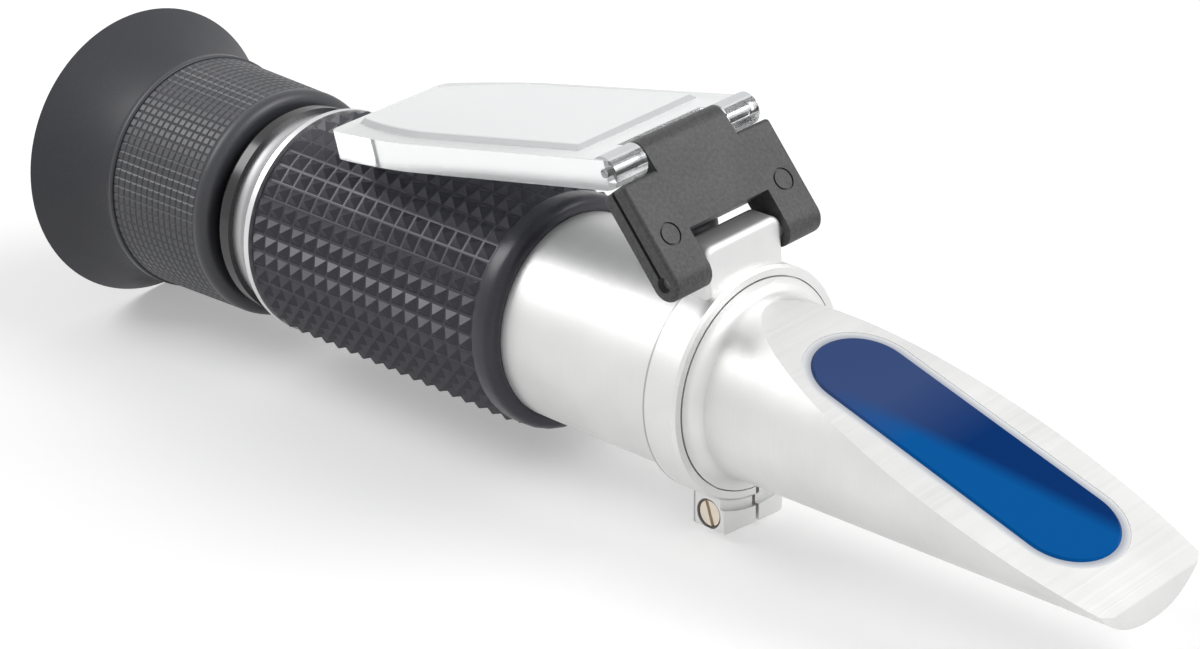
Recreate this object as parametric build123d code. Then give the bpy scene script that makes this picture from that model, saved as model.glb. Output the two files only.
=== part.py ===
from build123d import *
import math
import os

# Antifreeze refractometer: a hand-held optical tube with a slanted prism face,
# a folding clear cover plate on a two-pivot link, and a turning focus ring.
# Frame: +X from the eyecup to the prism tip, +Z up, origin under the middle of
# the instrument on the surface that it lies on. Lengths are in millimetres.

os.makedirs("parts", exist_ok=True)

# Lengths along the tube, from the eyecup rim to the prism tip
EYECUP_LENGTH = 11.8
FOCUS_RING_LENGTH = 19.3
FOCUS_GAP = 1.5
BUSH_FLANGE = 2.3
FERRULE_LENGTH = 5.2
GRIP_LENGTH = 44.6
BARE_BARREL_LENGTH = 24.55
CLAMP_WIDTH = 4.75
CLAMP_OVERHANG = 0.5
NOSE_LENGTH = 55.5

# Radii of what shows
EYECUP_RADIUS = 19.8
EYECUP_NECK_RADIUS = 15.2
FOCUS_LIP_RADIUS = 16.0
FOCUS_RING_REAR_RADIUS = 15.7
FOCUS_RING_FRONT_RADIUS = 15.2
BUSH_RADIUS = 13.9
FERRULE_REAR_RADIUS = 13.2
FERRULE_RIM_RADIUS = 14.8
GRIP_TIP_RADIUS = 15.0
GRIP_COLLAR_RADIUS = 14.6
BARREL_RADIUS = 12.75
CLAMP_RADIUS = 13.95
NOSE_COLLAR_RADIUS = 12.6
NOSE_NECK_RADIUS = 10.87
NOSE_TIP_RADIUS = 10.25

# Fits
RUN = 0.05
SEAT = 0.02
FILM = 0.1

# Barrel
BARREL_WALL = 2.5
BARREL_CHAMFER = 0.3

# Eyecup
EYECUP_WALL = 1.6
EYECUP_FLOOR = 1.6
EYECUP_CURVE = 1.6
EYECUP_HOLLOW = 0.4
EYECUP_STATIONS = 6
EYE_HOLE_RADIUS = 8.0

# Ferrule and grip pattern
FERRULE_RIM = 0.9
FERRULE_HOLLOW = 0.45
GRIP_ROWS = 17
GRIP_GROOVE_DEPTH = 0.8
GRIP_REAR_BAND = 0.1
GRIP_COLLAR_LENGTH = 3.3
GRIP_COLLAR_GROOVE = 0.2
GRIP_COLLAR_EDGE = 0.35
GRIP_NOSE_RADIUS = 1.3

# Guide bush, eyepiece tube and what it holds
BUSH_SPIGOT = 5.0
BUSH_SPIGOT_WALL = 1.35
TUBE_GAP = 0.35
TUBE_WALL = 1.4
TUBE_REACH = 9.4
TUBE_SLEEVE_RADIUS = 12.0
TUBE_FLANGE = 1.7
TUBE_FLANGE_RADIUS = 13.2
TUBE_LIP_RADIUS = 7.0
TUBE_LIP = 1.2
TUBE_SLEEVE_SETBACK = 0.4
BUSH_ROUNDING = 0.7
FOCUS_LIP = 1.0
FOCUS_LIP_ROUNDING = 0.25
FOCUS_RING_SHOULDER = 1.9
FOCUS_RING_ROUNDING = 1.3
O_RING_SECTION = 0.55
O_RING_FROM_FRONT = 1.5
EYE_LENS_EDGE = 2.2
EYE_LENS_BULGE = 1.3
FIELD_LENS_EDGE = 1.8
FIELD_LENS_BULGE = 1.2
LENS_LAND = 0.9
SHIM_WIDTH = 0.7
SHIM_LENGTH = 1.5
LENS_SPACER = 7.0
LENS_SPACER_WALL = 0.8
LENS_RETAINER = 1.6
LENS_RETAINER_WALL = 1.4
FOCUS_LEAD = 6.0
FOCUS_TURN_IN = 60
FOCUS_TURN_OUT = 110

# Scale disc in the focal plane of the eyepiece
SCALE_HOLDER = 5.0
SCALE_HOLDER_FROM_GRIP_REAR = 7.0
SCALE_STOP_RADIUS = 6.5
SCALE_LIP = 1.5
SCALE_DISC = 1.5
SCALE_DISC_RADIUS = 8.4

# Objective on the temperature-compensating strip
STRIP_LENGTH = 34.0
STRIP_WIDTH = 6.0
STRIP_LAYER = 0.4
STRIP_FROM_CALIBRATION = 2.2
STRIP_BLOCK_LENGTH = 12.0
STRIP_BLOCK_HEIGHT = 0.9
STRIP_SCREW_RADIUS = 0.9
STRIP_SCREW_HEAD_RADIUS = 1.7
STRIP_SCREW_HEAD = 0.8
STRIP_SCREW_PITCH = 6.0
CELL_LENGTH = 10.0
CELL_WALL = 1.9
CELL_GAP_UNDER_STRIP = 0.3
CELL_LENS_SEAT = 3.5
CELL_SEAT_WIDTH = 1.0
OBJECTIVE_EDGE = 2.0
OBJECTIVE_BULGE = 1.1
OBJECTIVE_LAND = 1.4
OBJECTIVE_RETAINER = 1.5
OBJECTIVE_RETAINER_WALL = 1.3
CELL_FROM_CALIBRATION = 5.4

# Calibration screw under its rubber cap
CALIBRATION_FROM_CLAMP = 5.95
CALIBRATION_SCREW_RADIUS = 1.7
CALIBRATION_SCREW_LENGTH = 2.2
CALIBRATION_SLOT = 0.6
CALIBRATION_SLOT_DEPTH = 0.8
COUNTERBORE_RADIUS = 3.0
COUNTERBORE_DEPTH = 0.9
PUSH_PIN_RADIUS = 0.8
PUSH_PIN_DEPTH = 1.1
CAP_FLANGE_RADIUS = 4.7
CAP_FLANGE = 1.1
CAP_DOME_RADIUS = 4.1
CAP_HEIGHT = 5.45
CAP_ROUNDING = 1.2
CAP_WALL = 0.9
CAP_LIFT = 1.1

# Clamp ring with the hinge lug on top and the two ears below
LUG_LENGTH = 3.75
LUG_HALF_WIDTH = 6.2
LUG_ABOVE_PIN = 2.3
LUG_CORNER = 1.6
LUG_FRONT_ROUNDING = 0.7
EAR_NEAR = 5.6
EAR_FAR = 4.2
EAR_BOTTOM = 17.2
EAR_TURN = 5.5
EAR_SLIT = 0.5
EAR_CORNER = 0.5
EAR_RELIEF = 0.6
EAR_RELIEF_WIDTH = 1.2
CLAMP_CHAMFER = 0.35
CLAMP_SCREW_RADIUS = 1.1
CLAMP_HEAD_RADIUS = 1.55
CLAMP_HEAD = 1.2
CLAMP_HEAD_GAP = 0.3
CLAMP_HEAD_SUNK = 0.2
CLAMP_HEAD_SLOT = 0.5
CLAMP_SLOT_DEPTH = 0.6
CLAMP_SLOT_TURN = 20
CLAMP_SCREW_DROP = 15.2

# Nose and prism
NOSE_COLLAR = 0.6
NOSE_FILLET = 1.5
NOSE_SPIGOT = 8.0
NOSE_SPIGOT_BORE = 8.2
NOSE_SPIGOT_BORE_DEPTH = 7.2
LIGHT_BORE_RADIUS = 4.5
LIGHT_BORE_FROM_TIP = 38.5
STOP_THICKNESS = 0.8
STOP_HOLE_RADIUS = 3.4
NOSE_RING_SECTION = 0.55
FACE_ANGLE = 17.97
TIP_BELOW_AXIS = 6.18
TIP_CORNER = 0.8
PRISM_FROM_TIP = 26.53
PRISM_LENGTH = 40.6
PRISM_WIDTH = 11.92
PRISM_DEPTH = 3.0
PRISM_PROUD = 0.2
PRISM_CHAMFER = 0.25
PRISM_PLATE_TOP = 3.0
CEMENT_GAP = 1.0
CEMENT_BELOW_FACE = 0.05
WEDGE_LENGTH = 17.0
WEDGE_WIDTH = 8.0
WEDGE_BELOW_AXIS = 3.5

# Link: two legs astride the lug, a web, and the barrel that holds the cover
PIN_BEHIND_LUG_FRONT = 1.1
PIN_ABOVE_BARREL = 3.55
LINK_REACH = 13.9
LINK_THICKNESS = 4.2
LINK_HALF_WIDTH = 11.8
LEG_INNER = 6.35
LEG_LENGTH = 11.7
WEB_START = 4.3
LINK_BARREL_RADIUS = 2.0
LINK_BARREL_HALF = 6.4
LINK_ROUNDING = 0.5
LINK_REST_ANGLE = 127.8
SIDE_GROOVE = 0.5
SIDE_GROOVE_DEPTH = 0.4
MARK_RADIUS = 1.4
MARK_LINE = 0.25
MARK_DEPTH = 0.2
MARK_ALONG = 4.6
MARK_OUT = 9.1
LINK_PIN_RADIUS = 0.9
LINK_PIN_INSET = 0.9
COVER_PIN_RADIUS = 0.5
COVER_PIN_INSET = 0.4

# Clear cover plate
PLATE_LENGTH = 51.4
PLATE_HALF_WIDTH = 11.4
PLATE_END_HALF_WIDTH = 9.2
PLATE_TAPER = 17.1
PLATE_BACK = 2.0
PLATE_FRONT = 1.6
PLATE_CORNER = 1.5
PAD_RAISE = 0.7
PAD_START = 5.8
PAD_END_INSET = 2.5
PAD_HALF_WIDTH = 9.4
PAD_END_HALF_WIDTH = 6.3
PAD_CHAMFER = 0.6
PLATE_SIDE_FULLNESS = 0.35
BARREL_NOTCH_GAP = 0.5
KNUCKLE_SIDE_GAP = 0.2
REST_GAP = 0.6

# Stations along the tube axis, worked out from the lengths
TOTAL_LENGTH = (
    EYECUP_LENGTH + FOCUS_RING_LENGTH + FOCUS_GAP + BUSH_FLANGE + FERRULE_LENGTH
    + GRIP_LENGTH + BARE_BARREL_LENGTH + CLAMP_WIDTH - CLAMP_OVERHANG + NOSE_LENGTH
)
X_RIM = -TOTAL_LENGTH / 2
X_FOCUS_REAR = X_RIM + EYECUP_LENGTH
X_FOCUS_FRONT = X_FOCUS_REAR + FOCUS_RING_LENGTH
X_BUSH_REAR = X_FOCUS_FRONT + FOCUS_GAP
X_BARREL_REAR = X_BUSH_REAR + BUSH_FLANGE
X_GRIP_REAR = X_BARREL_REAR + FERRULE_LENGTH
X_GRIP_FRONT = X_GRIP_REAR + GRIP_LENGTH
X_CLAMP_REAR = X_GRIP_FRONT + BARE_BARREL_LENGTH
X_CLAMP_FRONT = X_CLAMP_REAR + CLAMP_WIDTH
X_BARREL_FRONT = X_CLAMP_FRONT - CLAMP_OVERHANG
X_TIP = X_BARREL_FRONT + NOSE_LENGTH
X_CALIBRATION = X_CLAMP_REAR - CALIBRATION_FROM_CLAMP

# The rim of the eyecup is the lowest point. Put down, the tube also tips
# about a degree onto the clamp ears.
AXIS_HEIGHT = EYECUP_RADIUS

BORE = BARREL_RADIUS - BARREL_WALL
TUBE_RADIUS = BORE - TUBE_GAP
TUBE_BORE = TUBE_RADIUS - TUBE_WALL
LENS_RADIUS = TUBE_BORE - SEAT
BUSH_SPIGOT_RADIUS = TUBE_RADIUS + RUN + BUSH_SPIGOT_WALL
X_TUBE_REAR = X_FOCUS_REAR - TUBE_FLANGE
X_TUBE_FRONT = X_BARREL_REAR + TUBE_REACH

# Slanted face: tan of its angle gives the height at any station
FACE_SLOPE = math.tan(math.radians(FACE_ANGLE))
FACE_COS = math.cos(math.radians(FACE_ANGLE))

# Hinge pin centres, with the axis of the tube at height zero
X_LUG_FRONT = X_CLAMP_REAR + LUG_LENGTH
X_PIN = X_LUG_FRONT - PIN_BEHIND_LUG_FRONT
Z_PIN = BARREL_RADIUS + PIN_ABOVE_BARREL
REST_RADIANS = math.radians(LINK_REST_ANGLE)
X_COVER_PIN = X_PIN + LINK_REACH * math.cos(REST_RADIANS)
Z_COVER_PIN = Z_PIN + LINK_REACH * math.sin(REST_RADIANS)
PAD_FACE = PLATE_FRONT + PAD_RAISE
PLATE_TAPER_START = PLATE_LENGTH - PLATE_TAPER

# At rest the free end of the plate stays just clear of the grip's tips
PLATE_DROP = Z_COVER_PIN - GRIP_TIP_RADIUS - REST_GAP
PLATE_TILT = math.degrees(
    math.asin(PLATE_DROP / math.hypot(PLATE_LENGTH, PLATE_BACK))
    - math.atan2(PLATE_BACK, PLATE_LENGTH)
)
PLATE_REST_ANGLE = 180 + PLATE_TILT

# Closed, the pad lies a film of liquid above the prism
PIN_ABOVE_FACE = (Z_PIN - (X_TIP - X_PIN) * FACE_SLOPE + TIP_BELOW_AXIS) * FACE_COS
COVER_PIN_ABOVE_FACE = PAD_FACE + PRISM_PROUD + FILM
LINK_CLOSED_DIP = math.degrees(math.asin((PIN_ABOVE_FACE - COVER_PIN_ABOVE_FACE) / LINK_REACH))
LINK_FOLD_RANGE = LINK_REST_ANGLE + FACE_ANGLE + LINK_CLOSED_DIP
COVER_FOLD_RANGE = PLATE_REST_ANGLE - LINK_FOLD_RANGE + FACE_ANGLE


def turned(points):
    """Solid of revolution about the tube axis from (station, radius) points."""
    outline = make_face(Polyline(*[(x, r) for x, r in points], close=True))
    return revolve(outline, Axis.X, 360)


def turned_edges(*edges):
    """Solid of revolution about the tube axis from lines and arcs."""
    return revolve(make_face(Wire(list(edges))), Axis.X, 360)


def ring(x_start, x_end, inner, outer):
    """Plain ring on the tube axis."""
    return turned([(x_start, inner), (x_end, inner), (x_end, outer), (x_start, outer)])


def rod(x_start, x_end, radius):
    """Plain disc or rod on the tube axis."""
    return turned([(x_start, 0), (x_end, 0), (x_end, radius), (x_start, radius)])


def upright(x, z_low, z_high, radius, y=0):
    """Upright cylinder."""
    height = z_high - z_low
    return Pos(x, y, (z_low + z_high) / 2) * Cylinder(radius, height)


def crossways(x, z, y_low, y_high, radius):
    """Cylinder along Y."""
    turn = Rot(90, 0, 0)
    return Pos(x, (y_low + y_high) / 2, z) * turn * Cylinder(radius, y_high - y_low)


def block(x_low, x_high, y_low, y_high, z_low, z_high):
    """Box from its six faces."""
    centre = ((x_low + x_high) / 2, (y_low + y_high) / 2, (z_low + z_high) / 2)
    return Pos(*centre) * Box(x_high - x_low, y_high - y_low, z_high - z_low)


def dome_arc(x, curved, bulge):
    """Circular arc from (x, curved) to the axis; its centre lies on the axis."""
    depth = abs(bulge)
    sphere = (curved ** 2 + depth ** 2) / (2 * depth)
    half_angle = math.asin(curved / sphere) / 2
    drop = sphere * (1 - math.cos(half_angle))
    side = math.copysign(1, bulge)
    middle = (x + bulge - side * drop, sphere * math.sin(half_angle))
    return ThreePointArc((x, curved), middle, (x + bulge, 0))


def lens(x_flat, edge, bulge_rear, bulge_front, radius, land):
    """Round lens: a flat land round each curved face seats its spacer."""
    x_front = x_flat + edge
    curved = radius - land
    edges = [Line((x_flat, radius), (x_front, radius))]
    if bulge_front:
        edges.append(Line((x_front, radius), (x_front, curved)))
        edges.append(dome_arc(x_front, curved, bulge_front))
    else:
        edges.append(Line((x_front, radius), (x_front, 0)))
    if bulge_rear:
        edges.append(Line((x_flat, radius), (x_flat, curved)))
        edges.append(dome_arc(x_flat, curved, -bulge_rear))
    else:
        edges.append(Line((x_flat, radius), (x_flat, 0)))
    edges.append(Line((x_flat - bulge_rear, 0), (x_front + bulge_front, 0)))
    return turned_edges(*edges)


def o_ring(x, bottom_radius, section):
    """Round rubber ring that lies on a groove of the given bottom radius."""
    centre = bottom_radius + section
    return Pos(x, 0, 0) * Rot(0, 90, 0) * Torus(centre, section)


def rim_edges(solid, x, radius):
    """Circular edges of a turned solid at one station and radius."""
    found = solid.edges().filter_by(GeomType.CIRCLE)
    return found.filter_by(
        lambda e: abs(e.arc_center.X - x) < 0.01 and abs(e.radius - radius) < 0.01
    )


def on_face(along, out=0.0):
    """Place on the slanted face: distance up from the tip edge, height off the face."""
    x = X_TIP - along * FACE_COS
    z = -TIP_BELOW_AXIS + along * FACE_COS * FACE_SLOPE
    return Pos(x, 0, z) * Rot(0, FACE_ANGLE, 0) * Pos(0, 0, out)


def stadium(length, width, depth, top):
    """Round-ended block under the slanted face, its top face top above it."""
    outline = SlotOverall(length, width)
    return on_face(PRISM_FROM_TIP, top - depth) * extrude(outline, depth)


def at_link(solid):
    """Swing a piece drawn along +X from the lug pin into its rest place."""
    return Pos(X_PIN, 0, Z_PIN) * Rot(0, -LINK_REST_ANGLE, 0) * solid


def at_cover(solid):
    """Swing a piece drawn along +X from the cover pin into its rest place."""
    return Pos(X_COVER_PIN, 0, Z_COVER_PIN) * Rot(0, -PLATE_REST_ANGLE, 0) * solid


# Fixed tube: barrel, grip and rear end

def make_barrel():
    tube = ring(X_BARREL_REAR, X_BARREL_FRONT, BORE, BARREL_RADIUS)
    seat = ring(
        X_BARREL_REAR, X_BARREL_REAR + BUSH_SPIGOT, BORE, BUSH_SPIGOT_RADIUS + SEAT
    )
    tube -= seat
    tube -= upright(X_CALIBRATION, 0, BARREL_RADIUS + 1, CALIBRATION_SCREW_RADIUS + RUN)
    counterbore_floor = BARREL_RADIUS - COUNTERBORE_DEPTH
    tube -= upright(X_CALIBRATION, counterbore_floor, BARREL_RADIUS + 1, COUNTERBORE_RADIUS)
    for x in strip_screw_stations():
        tube -= upright(x, 0, BARREL_RADIUS + 1, STRIP_SCREW_RADIUS + SEAT)
        head_floor = BARREL_RADIUS - STRIP_SCREW_HEAD - SEAT
        tube -= upright(x, head_floor, BARREL_RADIUS + 1, STRIP_SCREW_HEAD_RADIUS + SEAT)
    return chamfer(rim_edges(tube, X_BARREL_REAR, BARREL_RADIUS), BARREL_CHAMFER)


def make_grip():
    inner = BARREL_RADIUS + SEAT
    root = GRIP_TIP_RADIUS - GRIP_GROOVE_DEPTH
    pattern_start = X_GRIP_REAR + GRIP_REAR_BAND
    pattern_end = X_GRIP_FRONT - GRIP_COLLAR_LENGTH - GRIP_COLLAR_GROOVE
    pitch = (pattern_end - pattern_start) / GRIP_ROWS
    points = [(X_GRIP_REAR, inner), (X_GRIP_REAR, root), (pattern_start, root)]
    for row in range(GRIP_ROWS):
        points.append((pattern_start + (row + 0.5) * pitch, GRIP_TIP_RADIUS))
        points.append((pattern_start + (row + 1) * pitch, root))
    collar = X_GRIP_FRONT - GRIP_COLLAR_LENGTH
    points += [
        (collar, root),
        (collar, GRIP_COLLAR_RADIUS),
        (X_GRIP_FRONT, GRIP_COLLAR_RADIUS),
        (X_GRIP_FRONT, inner),
    ]
    sleeve = turned(points)
    sleeve = fillet(rim_edges(sleeve, X_GRIP_FRONT, GRIP_COLLAR_RADIUS), GRIP_NOSE_RADIUS)
    return fillet(rim_edges(sleeve, collar, GRIP_COLLAR_RADIUS), GRIP_COLLAR_EDGE)


def make_ferrule():
    inner = BARREL_RADIUS + SEAT
    rim_start = X_GRIP_REAR - FERRULE_RIM
    waist = (FERRULE_REAR_RADIUS + FERRULE_RIM_RADIUS) / 2 - FERRULE_HOLLOW
    concave = ThreePointArc(
        (X_BARREL_REAR, FERRULE_REAR_RADIUS),
        ((X_BARREL_REAR + rim_start) / 2, waist),
        (rim_start, FERRULE_RIM_RADIUS),
    )
    rim = Line((rim_start, FERRULE_RIM_RADIUS), (X_GRIP_REAR, FERRULE_RIM_RADIUS))
    front = Line((X_GRIP_REAR, FERRULE_RIM_RADIUS), (X_GRIP_REAR, inner))
    bore = Line((X_GRIP_REAR, inner), (X_BARREL_REAR, inner))
    rear = Line((X_BARREL_REAR, inner), (X_BARREL_REAR, FERRULE_REAR_RADIUS))
    return turned_edges(concave, rim, front, bore, rear)


def make_guide_bush():
    inner = TUBE_RADIUS + RUN
    flange = ring(X_BUSH_REAR, X_BARREL_REAR, inner, BUSH_RADIUS)
    flange = fillet(rim_edges(flange, X_BUSH_REAR, BUSH_RADIUS), BUSH_ROUNDING)
    spigot = ring(X_BARREL_REAR, X_BARREL_REAR + BUSH_SPIGOT, inner, BUSH_SPIGOT_RADIUS)
    return flange + spigot


# Eyepiece: everything that turns and travels with the focus ring

def make_eyecup():
    seat = TUBE_FLANGE_RADIUS + SEAT
    x_floor = X_TUBE_REAR - EYECUP_FLOOR
    outer = []
    for step in range(EYECUP_STATIONS + 1):
        share = step / EYECUP_STATIONS
        flare = (EYECUP_RADIUS - EYECUP_NECK_RADIUS) * share ** EYECUP_CURVE
        outer.append((X_FOCUS_REAR - share * EYECUP_LENGTH, EYECUP_NECK_RADIUS + flare))
    skin = Spline(*outer)
    lip_inner = (X_RIM, EYECUP_RADIUS - EYECUP_WALL)
    floor_inner = (x_floor, EYECUP_NECK_RADIUS - EYECUP_WALL)
    rim = Line(outer[-1], lip_inner)
    cup = ThreePointArc(
        lip_inner,
        ((X_RIM + x_floor) / 2, (lip_inner[1] + floor_inner[1]) / 2 - EYECUP_HOLLOW),
        floor_inner,
    )
    rest = Polyline(
        floor_inner,
        (x_floor, EYE_HOLE_RADIUS),
        (X_TUBE_REAR, EYE_HOLE_RADIUS),
        (X_TUBE_REAR, seat),
        (X_FOCUS_REAR, seat),
        outer[0],
    )
    return turned_edges(skin, rim, cup, *rest.edges())


def make_focus_ring():
    inner = TUBE_SLEEVE_RADIUS + SEAT
    shoulder = X_FOCUS_FRONT - FOCUS_RING_SHOULDER
    sleeve = turned([
        (X_FOCUS_REAR, inner),
        (X_FOCUS_REAR, FOCUS_LIP_RADIUS),
        (X_FOCUS_REAR + FOCUS_LIP, FOCUS_LIP_RADIUS),
        (X_FOCUS_REAR + FOCUS_LIP, FOCUS_RING_REAR_RADIUS),
        (shoulder, FOCUS_RING_FRONT_RADIUS),
        (X_FOCUS_FRONT, FOCUS_RING_FRONT_RADIUS),
        (X_FOCUS_FRONT, inner),
    ])
    nose = rim_edges(sleeve, X_FOCUS_FRONT, FOCUS_RING_FRONT_RADIUS)
    sleeve = fillet(nose, FOCUS_RING_ROUNDING)
    lip = rim_edges(sleeve, X_FOCUS_REAR + FOCUS_LIP, FOCUS_LIP_RADIUS)
    return fillet(lip, FOCUS_LIP_ROUNDING)


def eyepiece_o_ring_station():
    return X_TUBE_FRONT - O_RING_FROM_FRONT


def make_eyepiece_tube():
    x_groove = eyepiece_o_ring_station()
    groove_half = O_RING_SECTION + RUN
    groove_bottom = TUBE_RADIUS + TUBE_GAP - RUN - 2 * O_RING_SECTION - RUN
    x_sleeve_end = X_FOCUS_FRONT - TUBE_SLEEVE_SETBACK
    return turned([
        (X_TUBE_REAR, TUBE_LIP_RADIUS),
        (X_TUBE_REAR + TUBE_LIP, TUBE_LIP_RADIUS),
        (X_TUBE_REAR + TUBE_LIP, TUBE_BORE),
        (X_TUBE_FRONT, TUBE_BORE),
        (X_TUBE_FRONT, TUBE_RADIUS),
        (x_groove + groove_half, TUBE_RADIUS),
        (x_groove + groove_half, groove_bottom),
        (x_groove - groove_half, groove_bottom),
        (x_groove - groove_half, TUBE_RADIUS),
        (x_sleeve_end, TUBE_RADIUS),
        (x_sleeve_end, TUBE_SLEEVE_RADIUS),
        (X_FOCUS_REAR, TUBE_SLEEVE_RADIUS),
        (X_FOCUS_REAR, TUBE_FLANGE_RADIUS),
        (X_TUBE_REAR, TUBE_FLANGE_RADIUS),
    ])


def make_eyepiece_o_ring():
    outer = BORE - RUN
    return o_ring(eyepiece_o_ring_station(), outer - 2 * O_RING_SECTION, O_RING_SECTION)


X_EYE_LENS = X_TUBE_REAR + TUBE_LIP + SHIM_LENGTH
X_SPACER = X_EYE_LENS + EYE_LENS_EDGE
X_FIELD_LENS = X_SPACER + LENS_SPACER
X_LENS_RETAINER = X_FIELD_LENS + FIELD_LENS_EDGE


def make_eye_lens():
    bulge = EYE_LENS_BULGE
    return lens(X_EYE_LENS, EYE_LENS_EDGE, bulge, bulge, LENS_RADIUS, LENS_LAND)


def make_lens_shim():
    return ring(X_TUBE_REAR + TUBE_LIP, X_EYE_LENS, LENS_RADIUS - SHIM_WIDTH, LENS_RADIUS)


def make_lens_spacer():
    return ring(X_SPACER, X_FIELD_LENS, LENS_RADIUS - LENS_SPACER_WALL, LENS_RADIUS)


def make_field_lens():
    bulge = FIELD_LENS_BULGE
    return lens(X_FIELD_LENS, FIELD_LENS_EDGE, bulge, 0, LENS_RADIUS, LENS_LAND)


def make_lens_retainer():
    inner = LENS_RADIUS - LENS_RETAINER_WALL
    return ring(X_LENS_RETAINER, X_LENS_RETAINER + LENS_RETAINER, inner, LENS_RADIUS)


# Scale disc

X_SCALE_HOLDER = X_GRIP_REAR + SCALE_HOLDER_FROM_GRIP_REAR
X_SCALE_DISC = X_SCALE_HOLDER + SCALE_LIP


def make_scale_holder():
    body = ring(X_SCALE_HOLDER, X_SCALE_HOLDER + SCALE_HOLDER, SCALE_STOP_RADIUS, BORE - SEAT)
    pocket = SCALE_DISC_RADIUS + SEAT
    return body - rod(X_SCALE_DISC, X_SCALE_HOLDER + SCALE_HOLDER, pocket)


def make_scale_disc():
    return rod(X_SCALE_DISC, X_SCALE_DISC + SCALE_DISC, SCALE_DISC_RADIUS)


def make_scale_retainer():
    return ring(
        X_SCALE_DISC + SCALE_DISC, X_SCALE_HOLDER + SCALE_HOLDER,
        SCALE_STOP_RADIUS, SCALE_DISC_RADIUS,
    )


# Objective cell hung on the bimetal strip

X_STRIP_FRONT = X_CALIBRATION + STRIP_FROM_CALIBRATION
X_STRIP_REAR = X_STRIP_FRONT - STRIP_LENGTH
STRIP_EDGE_HEIGHT = math.sqrt((BORE - SEAT) ** 2 - (STRIP_WIDTH / 2) ** 2)
Z_STRIP_TOP = STRIP_EDGE_HEIGHT - STRIP_BLOCK_HEIGHT
Z_STRIP_BOTTOM = Z_STRIP_TOP - 2 * STRIP_LAYER
CELL_RADIUS = Z_STRIP_BOTTOM - CELL_GAP_UNDER_STRIP
CELL_BORE = CELL_RADIUS - CELL_WALL
X_CELL_FRONT = X_CALIBRATION - CELL_FROM_CALIBRATION
X_CELL_REAR = X_CELL_FRONT - CELL_LENGTH
X_OBJECTIVE = X_CELL_REAR + CELL_LENS_SEAT


def strip_screw_stations():
    middle = X_STRIP_REAR + STRIP_BLOCK_LENGTH / 2
    return [middle - STRIP_SCREW_PITCH / 2, middle + STRIP_SCREW_PITCH / 2]


def strip_layer(z_low):
    half = STRIP_WIDTH / 2
    layer = block(X_STRIP_REAR, X_STRIP_FRONT, -half, half, z_low, z_low + STRIP_LAYER)
    for x in strip_screw_stations():
        layer -= upright(x, z_low - 1, z_low + 1, STRIP_SCREW_RADIUS + SEAT)
    return layer


def make_bimetal_steel():
    return strip_layer(Z_STRIP_BOTTOM + STRIP_LAYER)


def make_bimetal_brass():
    return strip_layer(Z_STRIP_BOTTOM)


def make_strip_block():
    half = STRIP_WIDTH / 2
    x_end = X_STRIP_REAR + STRIP_BLOCK_LENGTH
    packing = block(X_STRIP_REAR, x_end, -half, half, Z_STRIP_TOP, BORE)
    packing &= rod(X_STRIP_REAR, x_end, BORE - SEAT)
    for x in strip_screw_stations():
        packing -= upright(x, 0, BORE, STRIP_SCREW_RADIUS + SEAT)
    return packing


def strip_screw(x):
    z_head = BARREL_RADIUS - STRIP_SCREW_HEAD
    head = upright(x, z_head, BARREL_RADIUS, STRIP_SCREW_HEAD_RADIUS)
    reach = 2 * STRIP_SCREW_HEAD_RADIUS
    head &= rod(x - reach, x + reach, BARREL_RADIUS - SEAT)
    return head + upright(x, Z_STRIP_BOTTOM, z_head, STRIP_SCREW_RADIUS)


def make_rear_strip_screw():
    return strip_screw(strip_screw_stations()[0])


def make_front_strip_screw():
    return strip_screw(strip_screw_stations()[1])


def make_objective_cell():
    seat_bore = CELL_BORE - CELL_SEAT_WIDTH
    tube = ring(X_CELL_REAR, X_CELL_FRONT, seat_bore, CELL_RADIUS)
    tube -= rod(X_OBJECTIVE, X_CELL_FRONT, CELL_BORE)
    half = STRIP_WIDTH / 2
    saddle = block(X_CELL_REAR, X_CELL_FRONT, -half, half, 0, Z_STRIP_BOTTOM)
    saddle -= rod(X_CELL_REAR, X_CELL_FRONT, (CELL_BORE + CELL_RADIUS) / 2)
    return tube + saddle


def make_objective_lens():
    radius = CELL_BORE - SEAT
    return lens(X_OBJECTIVE, OBJECTIVE_EDGE, 0, OBJECTIVE_BULGE, radius, OBJECTIVE_LAND)


def make_objective_retainer():
    start = X_OBJECTIVE + OBJECTIVE_EDGE
    outer = CELL_BORE - SEAT
    inner = outer - OBJECTIVE_RETAINER_WALL
    return ring(start, start + OBJECTIVE_RETAINER, inner, outer)


# Calibration screw, the pin that it pushes, and its rubber cap

Z_SCREW_TOP = BARREL_RADIUS - COUNTERBORE_DEPTH
Z_SCREW_BOTTOM = Z_SCREW_TOP - CALIBRATION_SCREW_LENGTH
Z_PUSH_PIN = Z_STRIP_TOP + RUN


def make_calibration_screw():
    screw = upright(X_CALIBRATION, Z_SCREW_BOTTOM, Z_SCREW_TOP, CALIBRATION_SCREW_RADIUS)
    screw -= upright(
        X_CALIBRATION, Z_SCREW_BOTTOM, Z_SCREW_BOTTOM + PUSH_PIN_DEPTH, PUSH_PIN_RADIUS + RUN
    )
    reach = CALIBRATION_SCREW_RADIUS + 1
    slot_half = CALIBRATION_SLOT / 2
    slot_floor = Z_SCREW_TOP - CALIBRATION_SLOT_DEPTH
    return screw - block(
        X_CALIBRATION - reach, X_CALIBRATION + reach,
        -slot_half, slot_half, slot_floor, Z_SCREW_TOP,
    )


def make_push_pin():
    top = Z_SCREW_BOTTOM + PUSH_PIN_DEPTH
    return upright(X_CALIBRATION, Z_PUSH_PIN, top, PUSH_PIN_RADIUS)


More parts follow.
